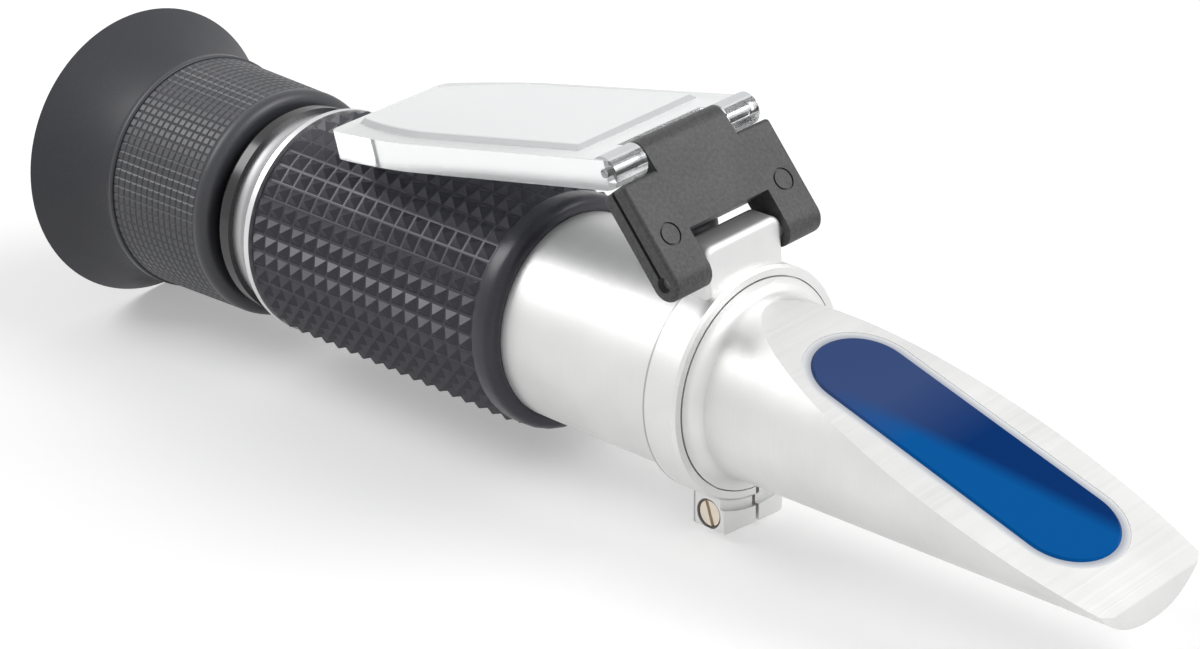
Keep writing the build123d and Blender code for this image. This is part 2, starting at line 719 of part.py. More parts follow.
def make_calibration_cap():
    flange_top = BARREL_RADIUS + CAP_FLANGE
    cap_top = BARREL_RADIUS + CAP_HEIGHT
    flange = upright(X_CALIBRATION, 0, flange_top, CAP_FLANGE_RADIUS)
    flange -= rod(
        X_CALIBRATION - 2 * CAP_FLANGE_RADIUS, X_CALIBRATION + 2 * CAP_FLANGE_RADIUS,
        BARREL_RADIUS + RUN,
    )
    flange &= block(
        X_CALIBRATION - CAP_FLANGE_RADIUS, X_CALIBRATION + CAP_FLANGE_RADIUS,
        -CAP_FLANGE_RADIUS, CAP_FLANGE_RADIUS, BARREL_RADIUS / 2, flange_top,
    )
    dome = upright(X_CALIBRATION, BARREL_RADIUS, cap_top, CAP_DOME_RADIUS)
    top_rim = dome.edges().filter_by(GeomType.CIRCLE).sort_by(Axis.Z)[-1]
    dome = fillet(top_rim, CAP_ROUNDING)
    plug_floor = Z_SCREW_TOP + RUN
    plug = upright(X_CALIBRATION, plug_floor, flange_top, COUNTERBORE_RADIUS - RUN)
    cap = flange + dome + plug
    hollow = COUNTERBORE_RADIUS - RUN - CAP_WALL
    return cap - upright(X_CALIBRATION, plug_floor, cap_top - CAP_WALL, hollow)


# Clamp ring

def at_ears(shape):
    # The ears sit a few degrees round from straight down.
    return Rot(-EAR_TURN, 0, 0) * shape


def make_clamp_ring():
    bore = BARREL_RADIUS + SEAT
    band = ring(X_CLAMP_REAR, X_CLAMP_FRONT, bore, CLAMP_RADIUS)
    band = chamfer(rim_edges(band, X_CLAMP_FRONT, CLAMP_RADIUS), CLAMP_CHAMFER)
    inside = rod(X_CLAMP_REAR - 1, X_CLAMP_FRONT + 1, bore)
    lug_top = Z_PIN + LUG_ABOVE_PIN
    lug = block(X_CLAMP_REAR, X_LUG_FRONT, -LUG_HALF_WIDTH, LUG_HALF_WIDTH, 0, lug_top)
    lug = fillet(lug.edges().filter_by(Axis.X).group_by(Axis.Z)[-1], LUG_CORNER)
    front_top = lug.edges().filter_by(
        lambda e: abs(e.center().X - X_LUG_FRONT) < 0.01
        and e.center().Z > lug_top - LUG_CORNER
    )
    lug = fillet(front_top, LUG_FRONT_ROUNDING)
    lug -= inside
    lug -= crossways(X_PIN, Z_PIN, -LUG_HALF_WIDTH, LUG_HALF_WIDTH, LINK_PIN_RADIUS + RUN)
    ears = block(X_CLAMP_REAR, X_CLAMP_FRONT, -EAR_NEAR, EAR_FAR, -EAR_BOTTOM, 0)
    ears = fillet(ears.edges().filter_by(Axis.X).group_by(Axis.Z)[0], EAR_CORNER)
    # A turned relief keeps the ring's rim proud of the ears.
    ears = at_ears(ears) - inside - ring(
        X_CLAMP_FRONT - EAR_RELIEF, X_CLAMP_FRONT,
        CLAMP_RADIUS - CLAMP_CHAMFER, CLAMP_RADIUS + EAR_RELIEF_WIDTH,
    )
    slit = block(
        X_CLAMP_REAR - 1, X_CLAMP_FRONT + 1,
        -EAR_SLIT / 2, EAR_SLIT / 2, -EAR_BOTTOM - 1, -BORE,
    )
    screw_hole = crossways(
        X_CLAMP_SCREW, Z_CLAMP_SCREW, -EAR_NEAR, EAR_FAR, CLAMP_SCREW_RADIUS + SEAT
    )
    head_hole = crossways(
        X_CLAMP_SCREW, Z_CLAMP_SCREW, -EAR_NEAR, -EAR_NEAR + CLAMP_HEAD_SUNK + CLAMP_HEAD,
        CLAMP_HEAD_RADIUS + CLAMP_HEAD_GAP,
    )
    return band + lug + ears - at_ears(slit) - at_ears(screw_hole) - at_ears(head_hole)


X_CLAMP_SCREW = X_CLAMP_REAR + CLAMP_WIDTH / 2
Z_CLAMP_SCREW = -CLAMP_SCREW_DROP


def make_clamp_screw():
    face = -EAR_NEAR + CLAMP_HEAD_SUNK
    shank = crossways(X_CLAMP_SCREW, Z_CLAMP_SCREW, face, EAR_FAR, CLAMP_SCREW_RADIUS)
    head = crossways(
        X_CLAMP_SCREW, Z_CLAMP_SCREW, face, face + CLAMP_HEAD, CLAMP_HEAD_RADIUS
    )
    slot = block(
        -CLAMP_HEAD_SLOT / 2, CLAMP_HEAD_SLOT / 2, face, face + CLAMP_SLOT_DEPTH,
        -CLAMP_HEAD_RADIUS, CLAMP_HEAD_RADIUS,
    )
    slot = Pos(X_CLAMP_SCREW, 0, Z_CLAMP_SCREW) * Rot(0, -CLAMP_SLOT_TURN, 0) * slot
    return at_ears(shank + head - slot)


# Nose, prism and seals

def nose_ring_station():
    return X_BARREL_FRONT - NOSE_SPIGOT / 2


def above_face(depth):
    """Everything above a plane that lies depth under the slanted face."""
    size = 4 * NOSE_LENGTH
    return on_face(PRISM_FROM_TIP, size / 2 - depth) * Box(size, size, size)


def prism_shape(grow, clearance, top):
    """Round-ended prism plate with the wedge under it, or the space cut for them."""
    plate = stadium(
        PRISM_LENGTH + 2 * grow, PRISM_WIDTH + 2 * grow, PRISM_DEPTH + top, top
    )
    x_neck_end = X_TIP - (PRISM_FROM_TIP + PRISM_LENGTH / 2 - PRISM_WIDTH / 2) * FACE_COS
    half = WEDGE_WIDTH / 2 + clearance
    wedge = block(
        x_neck_end - clearance, x_neck_end + WEDGE_LENGTH + clearance,
        -half, half, -WEDGE_BELOW_AXIS - clearance, NOSE_NECK_RADIUS,
    )
    return plate + (wedge - above_face(PRISM_DEPTH / 2))


def make_nose():
    rear = X_BARREL_FRONT - NOSE_SPIGOT
    spigot = BORE - SEAT
    collar_end = X_BARREL_FRONT + NOSE_COLLAR
    neck = collar_end + NOSE_FILLET
    middle = NOSE_FILLET * (1 - math.sqrt(0.5))
    fillet_height = NOSE_COLLAR_RADIUS - NOSE_NECK_RADIUS
    profile = [
        Line((rear, 0), (rear, spigot)),
        Line((rear, spigot), (X_BARREL_FRONT, spigot)),
        Line((X_BARREL_FRONT, spigot), (X_BARREL_FRONT, NOSE_COLLAR_RADIUS)),
        Line((X_BARREL_FRONT, NOSE_COLLAR_RADIUS), (collar_end, NOSE_COLLAR_RADIUS)),
        ThreePointArc(
            (collar_end, NOSE_COLLAR_RADIUS),
            (collar_end + middle, NOSE_NECK_RADIUS + fillet_height * (1 - math.sqrt(0.5))),
            (neck, NOSE_NECK_RADIUS),
        ),
        Line((neck, NOSE_NECK_RADIUS), (X_TIP, NOSE_TIP_RADIUS)),
        Line((X_TIP, NOSE_TIP_RADIUS), (X_TIP, 0)),
        Line((X_TIP, 0), (rear, 0)),
    ]
    nose = turned_edges(*profile)
    keep = rod(rear, collar_end, NOSE_COLLAR_RADIUS)
    nose -= above_face(0) - keep
    nose -= rod(rear, rear + NOSE_SPIGOT_BORE_DEPTH, NOSE_SPIGOT_BORE)
    nose -= rod(rear, X_TIP - LIGHT_BORE_FROM_TIP, LIGHT_BORE_RADIUS)
    nose -= prism_shape(CEMENT_GAP, RUN, PRISM_PLATE_TOP)
    groove_half = NOSE_RING_SECTION + RUN
    x_groove = nose_ring_station()
    groove_bottom = BORE - 2 * groove_half
    nose -= ring(x_groove - groove_half, x_groove + groove_half, groove_bottom, BORE)
    end_corners = nose.edges().filter_by(
        lambda e: abs(e.center().X - X_TIP) < 0.01 and e.center().Z < -TIP_BELOW_AXIS - 0.5
    )
    return chamfer(end_corners, TIP_CORNER)


def make_main_prism():
    prism = prism_shape(0, 0, PRISM_PROUD)
    normal = Axis((0, 0, 0), (math.sin(math.radians(FACE_ANGLE)), 0, FACE_COS))
    return chamfer(prism.faces().sort_by(normal)[-1].outer_wire().edges(), PRISM_CHAMFER)


def make_prism_cement():
    depth = PRISM_DEPTH - CEMENT_BELOW_FACE
    outer = stadium(
        PRISM_LENGTH + 2 * (CEMENT_GAP - SEAT), PRISM_WIDTH + 2 * (CEMENT_GAP - SEAT),
        depth, -CEMENT_BELOW_FACE,
    )
    inner = stadium(PRISM_LENGTH + 2 * SEAT, PRISM_WIDTH + 2 * SEAT, 2 * PRISM_DEPTH, 0)
    return outer - inner


def make_nose_o_ring():
    outer = BORE - RUN
    return o_ring(nose_ring_station(), outer - 2 * NOSE_RING_SECTION, NOSE_RING_SECTION)


def make_light_stop():
    shoulder = X_BARREL_FRONT - NOSE_SPIGOT + NOSE_SPIGOT_BORE_DEPTH
    return ring(shoulder - STOP_THICKNESS, shoulder, STOP_HOLE_RADIUS, NOSE_SPIGOT_BORE - SEAT)


# Link and cover

def make_hinge_link():
    half = LINK_THICKNESS / 2
    legs = []
    for side in (-1, 1):
        inner = side * LEG_INNER
        outer = side * LINK_HALF_WIDTH
        low, high = min(inner, outer), max(inner, outer)
        leg = block(0, LEG_LENGTH, low, high, -half, half) + crossways(0, 0, low, high, half)
        outside = leg.edges().filter_by(
            lambda e: abs(e.center().Y - outer) < 0.01 or abs(e.center().X - LEG_LENGTH) < 0.01
        )
        leg = fillet(outside, LINK_ROUNDING)
        legs.append(leg)
    web = block(WEB_START, LEG_LENGTH, -LEG_INNER, LEG_INNER, -half, half)
    neck_half = LINK_BARREL_HALF
    taper = make_face(Plane.XZ * Polyline(
        (LEG_LENGTH - 1, -half), (LINK_REACH, -LINK_BARREL_RADIUS),
        (LINK_REACH, LINK_BARREL_RADIUS), (LEG_LENGTH - 1, half), close=True,
    ))
    neck = extrude(taper, neck_half, both=True)
    head = crossways(LINK_REACH, 0, -neck_half, neck_half, LINK_BARREL_RADIUS)
    link = legs[0] + legs[1] + web + neck + head
    link -= crossways(0, 0, -LINK_HALF_WIDTH, LINK_HALF_WIDTH, LINK_PIN_RADIUS + SEAT)
    link -= crossways(LINK_REACH, 0, -neck_half, neck_half, COVER_PIN_RADIUS + SEAT)
    for side in (-1, 1):
        deep = side * (LINK_HALF_WIDTH - SIDE_GROOVE_DEPTH)
        outer = side * (LINK_HALF_WIDTH + 1)
        low, high = min(deep, outer), max(deep, outer)
        link -= block(0, LEG_LENGTH + 1, low, high, -SIDE_GROOVE / 2, SIDE_GROOVE / 2)
        disc = Cylinder(MARK_RADIUS, 2 * MARK_DEPTH) - Cylinder(MARK_RADIUS - MARK_LINE, 2)
        link -= Pos(MARK_ALONG, side * MARK_OUT, -half) * disc
    return at_link(link)


def make_link_pin():
    half = LINK_HALF_WIDTH - LINK_PIN_INSET
    return at_link(crossways(0, 0, -half, half, LINK_PIN_RADIUS))


def make_cover_pin():
    half = PLATE_HALF_WIDTH - COVER_PIN_INSET
    return at_link(crossways(LINK_REACH, 0, -half, half, COVER_PIN_RADIUS))


def plate_outline(start, end, half, end_half, taper_start):
    """Plan of the plate or its pad: straight sides that draw in to the free end."""
    middle = ((taper_start + end) / 2, half - (half - end_half) * PLATE_SIDE_FULLNESS)
    return make_face(Wire([
        Line((start, -half), (taper_start, -half)),
        ThreePointArc((taper_start, -half), (middle[0], -middle[1]), (end, -end_half)),
        Line((end, -end_half), (end, end_half)),
        ThreePointArc((end, end_half), middle, (taper_start, half)),
        Line((taper_start, half), (start, half)),
        Line((start, half), (start, -half)),
    ]))


def make_cover_plate():
    knuckle_inner = LINK_BARREL_HALF + KNUCKLE_SIDE_GAP
    plan = plate_outline(
        0, PLATE_LENGTH, PLATE_HALF_WIDTH, PLATE_END_HALF_WIDTH, PLATE_TAPER_START
    )
    slab = Pos(0, 0, -PLATE_FRONT) * extrude(plan, PLATE_FRONT + PLATE_BACK)
    end_corners = slab.edges().filter_by(Axis.Z).group_by(Axis.X)[-1]
    slab = fillet(end_corners, PLATE_CORNER)
    knuckle = crossways(0, 0, -PLATE_HALF_WIDTH, PLATE_HALF_WIDTH, PLATE_BACK)
    pad_plan = plate_outline(
        PAD_START, PLATE_LENGTH - PAD_END_INSET,
        PAD_HALF_WIDTH, PAD_END_HALF_WIDTH, PLATE_TAPER_START,
    )
    pad = Pos(0, 0, -PAD_FACE) * extrude(pad_plan, PAD_RAISE)
    pad = chamfer(pad.faces().sort_by(Axis.Z)[0].outer_wire().edges(), PAD_CHAMFER)
    plate = slab + knuckle + pad
    notch = LINK_BARREL_RADIUS + BARREL_NOTCH_GAP
    plate -= block(-2 * PLATE_BACK, notch, -knuckle_inner, knuckle_inner, -5, 5)
    plate -= crossways(
        0, 0, -PLATE_HALF_WIDTH, PLATE_HALF_WIDTH, COVER_PIN_RADIUS + RUN
    )
    return at_cover(plate)


NODES = {
    "barrel": make_barrel,
    "rubber_grip": make_grip,
    "rear_ferrule": make_ferrule,
    "guide_bush": make_guide_bush,
    "eyecup": make_eyecup,
    "focus_ring": make_focus_ring,
    "eyepiece_tube": make_eyepiece_tube,
    "eyepiece_o_ring": make_eyepiece_o_ring,
    "eye_lens": make_eye_lens,
    "lens_shim": make_lens_shim,
    "lens_spacer": make_lens_spacer,
    "field_lens": make_field_lens,
    "lens_retainer": make_lens_retainer,
    "scale_holder": make_scale_holder,
    "scale_disc": make_scale_disc,
    "scale_retainer": make_scale_retainer,
    "bimetal_steel": make_bimetal_steel,
    "bimetal_brass": make_bimetal_brass,
    "strip_block": make_strip_block,
    "rear_strip_screw": make_rear_strip_screw,
    "front_strip_screw": make_front_strip_screw,
    "objective_cell": make_objective_cell,
    "objective_lens": make_objective_lens,
    "objective_retainer": make_objective_retainer,
    "calibration_screw": make_calibration_screw,
    "push_pin": make_push_pin,
    "calibration_cap": make_calibration_cap,
    "clamp_ring": make_clamp_ring,
    "clamp_screw": make_clamp_screw,
    "nose": make_nose,
    "main_prism": make_main_prism,
    "prism_cement": make_prism_cement,
    "nose_o_ring": make_nose_o_ring,
    "light_stop": make_light_stop,
    "hinge_link": make_hinge_link,
    "link_pin": make_link_pin,
    "cover_pin": make_cover_pin,
    "cover_plate": make_cover_plate,
}

for name, make in NODES.items():
    export_step(Pos(0, 0, AXIS_HEIGHT) * make(), f"parts/{name}.step")

print("total length", round(TOTAL_LENGTH, 2), "axis height", AXIS_HEIGHT)
print("link pin", round(X_PIN, 3), round(Z_PIN + AXIS_HEIGHT, 3))
print("cover pin", round(X_COVER_PIN, 3), round(Z_COVER_PIN + AXIS_HEIGHT, 3))
print("link fold", round(LINK_FOLD_RANGE, 3), "cover fold", round(COVER_FOLD_RANGE, 3))
print("plate tilt at rest", round(PLATE_TILT, 3))
print("focus travel per turn", FOCUS_LEAD, "in", FOCUS_TURN_IN, "out", FOCUS_TURN_OUT)
print("calibration station", round(X_CALIBRATION, 3))
foot_middle = (EAR_CORNER - EAR_NEAR - EAR_SLIT / 2) / 2
foot = at_ears(Pos(X_CLAMP_SCREW, foot_middle, -EAR_BOTTOM)).position
print("ear foot", round(foot.X, 4), round(foot.Y, 4), round(foot.Z + AXIS_HEIGHT, 4))
print("cap lift", CAP_LIFT)
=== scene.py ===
# %% [markdown]
# # A hand-held refractometer
#
# The solid model comes from the CAD frame: tube, hinge link, clear cover plate,
# nose and blue prism, all in metres and all in one place. This lesson dresses
# it. We give every part its real finish, rebuild the two pieces whose surface
# pattern the solid model leaves out, and light the whole like a product photo
# on a white table.

# %% Load the frame
import math

import bmesh
import bpy
from mathutils import Matrix, Vector


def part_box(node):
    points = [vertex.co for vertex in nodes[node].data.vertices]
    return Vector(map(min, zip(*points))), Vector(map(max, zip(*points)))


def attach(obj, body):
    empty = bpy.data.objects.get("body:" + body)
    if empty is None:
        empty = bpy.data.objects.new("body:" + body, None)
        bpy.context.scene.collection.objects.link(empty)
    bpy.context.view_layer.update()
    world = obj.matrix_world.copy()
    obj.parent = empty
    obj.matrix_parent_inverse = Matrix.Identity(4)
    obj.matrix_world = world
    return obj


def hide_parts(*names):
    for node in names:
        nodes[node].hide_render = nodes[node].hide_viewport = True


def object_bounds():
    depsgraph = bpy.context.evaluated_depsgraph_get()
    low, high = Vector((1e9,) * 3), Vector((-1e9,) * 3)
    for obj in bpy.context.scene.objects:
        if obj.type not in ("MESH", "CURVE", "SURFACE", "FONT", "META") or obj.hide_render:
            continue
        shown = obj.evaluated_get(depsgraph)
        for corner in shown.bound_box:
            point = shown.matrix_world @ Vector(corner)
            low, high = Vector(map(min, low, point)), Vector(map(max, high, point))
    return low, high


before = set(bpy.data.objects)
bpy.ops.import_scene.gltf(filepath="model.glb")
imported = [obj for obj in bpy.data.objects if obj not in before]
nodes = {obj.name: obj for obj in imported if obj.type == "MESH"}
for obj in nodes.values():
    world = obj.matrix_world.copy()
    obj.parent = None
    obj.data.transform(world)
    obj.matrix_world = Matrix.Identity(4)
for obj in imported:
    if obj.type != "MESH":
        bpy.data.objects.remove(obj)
cad_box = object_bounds()
MM = 0.001
print("CAD box", [round(c / MM, 1) for corner in cad_box for c in corner])

# %% [markdown]
# ## Where the parts meet
#
# A few stations along the tube are needed again and again. We read them from
# the CAD nodes themselves, so that the pieces made here always fit the solids.

# %% Stations along the tube
barrel_low, barrel_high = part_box("barrel")
grip_low, grip_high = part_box("rubber_grip")
focus_low, focus_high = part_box("focus_ring")
clamp_low, clamp_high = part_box("clamp_ring")
prism_low, prism_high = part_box("main_prism")

AXIS_HEIGHT = (barrel_low.z + barrel_high.z) / 2
AXIS_POINT = Vector((0, 0, AXIS_HEIGHT))
print("tube axis at", round(AXIS_HEIGHT / MM, 2), "mm")
print("grip from", round(grip_low.x / MM, 2), "to", round(grip_high.x / MM, 2), "mm")

# %% [markdown]
# ## The camera
#
# The photo is taken from halfway between the side and the prism end, and from
# above, with a long lens. The camera is turned a few degrees about its own line
# of sight as well, so a rotation matrix built from three axes is simpler than
# guessing three Euler angles.

# %% Camera
CAMERA_AZIMUTH = math.radians(47.544)
CAMERA_ELEVATION = math.radians(26.204)
CAMERA_ROLL = math.radians(-4.698)
CAMERA_DISTANCE = 368.4 * MM
CAMERA_TARGET = Vector((3.723, 0, 19.547)) * MM
CAMERA_LENS = 93.14
NEAREST_VIEW = 10 * MM

back = Vector((
    math.sin(CAMERA_AZIMUTH) * math.cos(CAMERA_ELEVATION),
    -math.cos(CAMERA_AZIMUTH) * math.cos(CAMERA_ELEVATION),
    math.sin(CAMERA_ELEVATION),
))
right = Vector((math.cos(CAMERA_AZIMUTH), math.sin(CAMERA_AZIMUTH), 0))
upward = back.cross(right)
rolled_right = math.cos(CAMERA_ROLL) * right + math.sin(CAMERA_ROLL) * upward
rolled_up = -math.sin(CAMERA_ROLL) * right + math.cos(CAMERA_ROLL) * upward
turn = Matrix((rolled_right, rolled_up, back)).transposed()

camera_data = bpy.data.cameras.new("camera")
camera_data.lens = CAMERA_LENS
camera_data.clip_start = NEAREST_VIEW
camera = bpy.data.objects.new("camera", camera_data)
camera.matrix_world = Matrix.Translation(CAMERA_TARGET + back * CAMERA_DISTANCE) @ turn.to_4x4()
bpy.context.scene.collection.objects.link(camera)
bpy.context.scene.camera = camera
print("camera at", [round(c, 3) for c in camera.matrix_world.translation])

# %% [markdown]
# ## The table and the light
#
# The photo is bright: a white table with one soft shadow that falls towards
# the viewer, and white surroundings that the metal mirrors. A table that is
# white by itself would still render grey away from the lamps, so its material
# adds a share of plain white for rays from the camera, from glossy surfaces and
# through glass. The diffuse share keeps the shadow. The room does the same: it
# lights the part weakly, but the metal and the camera see it nearly white.
#
# Laid down, the instrument touches the table with the rim of its eyecup and
# with an ear of its clamp, so the table leans by the small angle between the
# two.

# %% Helpers for nodes
def math_step(tree, operation, *values):
    """Math node whose inputs are sockets or plain numbers."""
    node = tree.nodes.new("ShaderNodeMath")
    node.operation = operation
    for socket, value in zip(node.inputs, values):
        if isinstance(value, (int, float)):
            socket.default_value = value
        else:
            tree.links.new(value, socket)
    return node.outputs[0]


def mix_shaders(tree, share, first, second):
    """Goes from the first shader to the second as the share goes from 0 to 1."""
    mix = tree.nodes.new("ShaderNodeMixShader")
    for socket, source in zip(mix.inputs, (share, first, second)):
        tree.links.new(source, socket)
    return mix.outputs[0]


# %% White table
RIM_X = cad_box[0].x
TABLE_LEAN = math.atan2(clamp_low.z, clamp_high.x - RIM_X)
TABLE_SIZE = 3.0
TABLE_DROP = 0.05 * MM
TABLE_WHITE = (0.80, 0.80, 0.80)
TABLE_GLOW = 0.34


def white_table():
    """Diffuse white, with a glow that camera, glossy and transmission rays see."""
    finish = bpy.data.materials.new("white_table")
    finish.use_nodes = True
    tree = finish.node_tree
    tree.nodes.clear()
    diffuse = tree.nodes.new("ShaderNodeBsdfDiffuse")
    diffuse.inputs["Color"].default_value = (*TABLE_WHITE, 1)
    glow = tree.nodes.new("ShaderNodeEmission")
    glow.inputs["Strength"].default_value = TABLE_GLOW
    both = tree.nodes.new("ShaderNodeAddShader")
    tree.links.new(diffuse.outputs[0], both.inputs[0])
    tree.links.new(glow.outputs[0], both.inputs[1])
    rays = tree.nodes.new("ShaderNodeLightPath").outputs
    seen = math_step(tree, "MAXIMUM", rays["Is Camera Ray"], rays["Is Glossy Ray"])
    seen = math_step(tree, "MAXIMUM", seen, rays["Is Transmission Ray"])
    output = tree.nodes.new("ShaderNodeOutputMaterial")
    surface = mix_shaders(tree, seen, diffuse.outputs[0], both.outputs[0])
    tree.links.new(surface, output.inputs["Surface"])
    return finish


bm = bmesh.new()
bmesh.ops.create_grid(bm, x_segments=1, y_segments=1, size=TABLE_SIZE / 2)
bmesh.ops.rotate(bm, verts=bm.verts, matrix=Matrix.Rotation(-TABLE_LEAN, 3, "Y"))
bmesh.ops.translate(bm, verts=bm.verts, vec=(0, 0, -TABLE_DROP - math.tan(TABLE_LEAN) * RIM_X))
mesh = bpy.data.meshes.new("table")
bm.to_mesh(mesh)
bm.free()
mesh.materials.append(white_table())
table_top = bpy.data.objects.new("table", mesh)
bpy.context.scene.collection.objects.link(table_top)
print("table leans", round(math.degrees(TABLE_LEAN), 2), "degrees")


# %% Soft lamps
KEY_SIDE = Vector((0.54, 0.37, 0.58))
FILL_SIDE = Vector((-0.56, -0.26, 0.59))


def softbox(name, place, size, power):
    """Square area lamp that faces the middle of the tube."""
    data = bpy.data.lights.new(name, "AREA")
    data.size = size
    data.energy = power
    lamp = bpy.data.objects.new(name, data)
    facing = (place - AXIS_POINT).to_track_quat("Z", "Y").to_matrix().to_4x4()
    lamp.matrix_world = Matrix.Translation(place) @ facing
    bpy.context.scene.collection.objects.link(lamp)


softbox("key_panel", KEY_SIDE, size=0.48, power=4.4)
softbox("fill_panel", FILL_SIDE, size=0.42, power=2.8)

# %% White room
ROOM_LIGHT = 0.33
ROOM_MIRRORED = 0.90
ROOM_SEEN = 1.0


def white_surroundings(tree, strength):
    """White background of the given strength."""
    background = tree.nodes.new("ShaderNodeBackground")
    background.inputs["Color"].default_value = (1, 1, 1, 1)
    background.inputs["Strength"].default_value = strength
    return background.outputs[0]


world = bpy.data.worlds.new("studio")
world.use_nodes = True
tree = world.node_tree
tree.nodes.clear()
rays = tree.nodes.new("ShaderNodeLightPath").outputs
room = white_surroundings(tree, ROOM_LIGHT)
mirrored = white_surroundings(tree, ROOM_MIRRORED)
room = mix_shaders(tree, rays["Is Glossy Ray"], room, mirrored)
seen = math_step(tree, "MAXIMUM", rays["Is Camera Ray"], rays["Is Transmission Ray"])
room = mix_shaders(tree, seen, room, white_surroundings(tree, ROOM_SEEN))
output = tree.nodes.new("ShaderNodeOutputWorld")
tree.links.new(room, output.inputs["Surface"])
bpy.context.scene.world = world
bpy.context.scene.view_settings.view_transform = "Standard"
print("room lights with", ROOM_LIGHT, "and is mirrored with", ROOM_MIRRORED)

# %% [markdown]
# ## A small kit for finishes
#
# Every finish below starts from the Principled shader and reads Object
# coordinates in metres, so a noise scale of 3000 gives grains of about a third
# of a millimetre on every part. A few small helpers are enough. They make the
# material, a noise, a range of values, a run of colour and a bump, and one
# tells a material where on the object it is.

# %% Helpers for materials
def new_finish(name, color, roughness, metallic=0.0):
    """Material with a Principled shader; returns material, tree and shader."""
    finish = bpy.data.materials.new(name)
    finish.use_nodes = True
    tree = finish.node_tree
    shader = tree.nodes["Principled BSDF"]
    shader.inputs["Base Color"].default_value = (*color, 1)
    shader.inputs["Roughness"].default_value = roughness
    shader.inputs["Metallic"].default_value = metallic
    return finish, tree, shader


def grain(tree, scale, detail=2.0, stretch=(1, 1, 1), roughness=0.5):
    """Noise on object coordinates, stretched per axis."""
    where = tree.nodes.new("ShaderNodeTexCoord")
    mapping = tree.nodes.new("ShaderNodeMapping")
    mapping.inputs["Scale"].default_value = stretch
    tree.links.new(where.outputs["Object"], mapping.inputs["Vector"])
    noise = tree.nodes.new("ShaderNodeTexNoise")
    noise.inputs["Scale"].default_value = scale
    noise.inputs["Detail"].default_value = detail
    noise.inputs["Roughness"].default_value = roughness
    tree.links.new(mapping.outputs[0], noise.inputs["Vector"])
    return noise.outputs["Fac"]


def place_on(tree, centre=(0, 0, 0), tilt=0.0):
    """X, Y and Z measured from a centre, along axes tilted about Y."""
    where = tree.nodes.new("ShaderNodeTexCoord")
    local = tree.nodes.new("ShaderNodeMapping")
    local.vector_type = "TEXTURE"
    local.inputs["Location"].default_value = centre
    local.inputs["Rotation"].default_value = (0, tilt, 0)
    tree.links.new(where.outputs["Object"], local.inputs["Vector"])
    apart = tree.nodes.new("ShaderNodeSeparateXYZ")
    tree.links.new(local.outputs[0], apart.inputs[0])
    return apart.outputs


def spread(tree, value, low, high, start=0.3, end=0.7):
    """Maps a value from start..end to low..high, and holds it at both ends."""
    node = tree.nodes.new("ShaderNodeMapRange")
    node.inputs["From Min"].default_value = start
    node.inputs["From Max"].default_value = end
    node.inputs["To Min"].default_value = low
    node.inputs["To Max"].default_value = high
    tree.links.new(value, node.inputs["Value"])
    return node.outputs[0]


def tint(tree, value, dark, light, start=0.3, end=0.7):
    """Colour that runs from dark to light while a value runs from start to end."""
    ramp = tree.nodes.new("ShaderNodeValToRGB")
    ramp.color_ramp.elements[0].position = start
    ramp.color_ramp.elements[0].color = (*dark, 1)
    ramp.color_ramp.elements[1].position = end
    ramp.color_ramp.elements[1].color = (*light, 1)
    tree.links.new(value, ramp.inputs[0])
    return ramp.outputs[0]


def mix_colors(tree, share, first, second):
    """Goes from the first colour or socket to the second as the share grows."""
    mix = tree.nodes.new("ShaderNodeMix")
    mix.data_type = "RGBA"
    tree.links.new(share, mix.inputs["Factor"])
    for socket, color in ((mix.inputs[6], first), (mix.inputs[7], second)):
        if isinstance(color, tuple):
            socket.default_value = (*color, 1)
        else:
            tree.links.new(color, socket)
    return mix.outputs[2]


def raise_grain(tree, shader, heights, depth, strength=1.0):
    """Bump of the given depth in metres."""
    bump = tree.nodes.new("ShaderNodeBump")
    bump.inputs["Strength"].default_value = strength
    bump.inputs["Distance"].default_value = depth
    tree.links.new(heights, bump.inputs["Height"])
    tree.links.new(bump.outputs[0], shader.inputs["Normal"])


def dress(names, finish):
    """Gives CAD nodes one finish."""
    for name in names:
        mesh = nodes[name].data
        mesh.materials.clear()
        mesh.materials.append(finish)


# %% [markdown]
# ## Metal
#
# The tube, the clamp ring and the nose are aluminium, blasted and clear
# anodised: bright, but with a soft sheen and a grain that just shows close up.
# A metallic shader with a fairly high roughness does that. The turned parts
# keep a trace of rings round the axis, so a second noise is stretched flat
# across X. The milled clamp is blasted more coarsely, and a thin darker line
# of painted shade runs round its rear edge where it ends on the barrel. The
# ferrule behind the grip is satin chrome, and the small turned parts share its
# recipe in their own colours.

# %% Satin aluminium
ALUMINIUM = (0.73, 0.73, 0.725)
ALUMINIUM_DARKER = (0.70, 0.70, 0.695)
ALUMINIUM_LIGHTER = (0.76, 0.76, 0.755)
SATIN_ROUGHNESS = (0.46, 0.54)
CLOUD_SCALE = 120
TURNING_SCALE = 5200
ROUND_THE_AXIS = (1, 0.004, 0.004)


def satin_aluminium(name, rings, blast_scale, blast_depth):
    """Blasted aluminium, with a trace of turning rings where asked."""
    finish, tree, shader = new_finish(name, ALUMINIUM, roughness=0.50, metallic=1.0)
    clouds = grain(tree, CLOUD_SCALE)
    color = tint(tree, clouds, ALUMINIUM_DARKER, ALUMINIUM_LIGHTER)
    tree.links.new(color, shader.inputs["Base Color"])
    blasted = grain(tree, blast_scale, detail=3)
    heights = sheen = blasted
    if rings:
        sheen = grain(tree, TURNING_SCALE, detail=1, stretch=ROUND_THE_AXIS)
        heights = math_step(tree, "ADD", blasted, sheen)
    tree.links.new(spread(tree, sheen, *SATIN_ROUGHNESS), shader.inputs["Roughness"])
    raise_grain(tree, shader, heights, blast_depth, strength=0.6)
    return finish


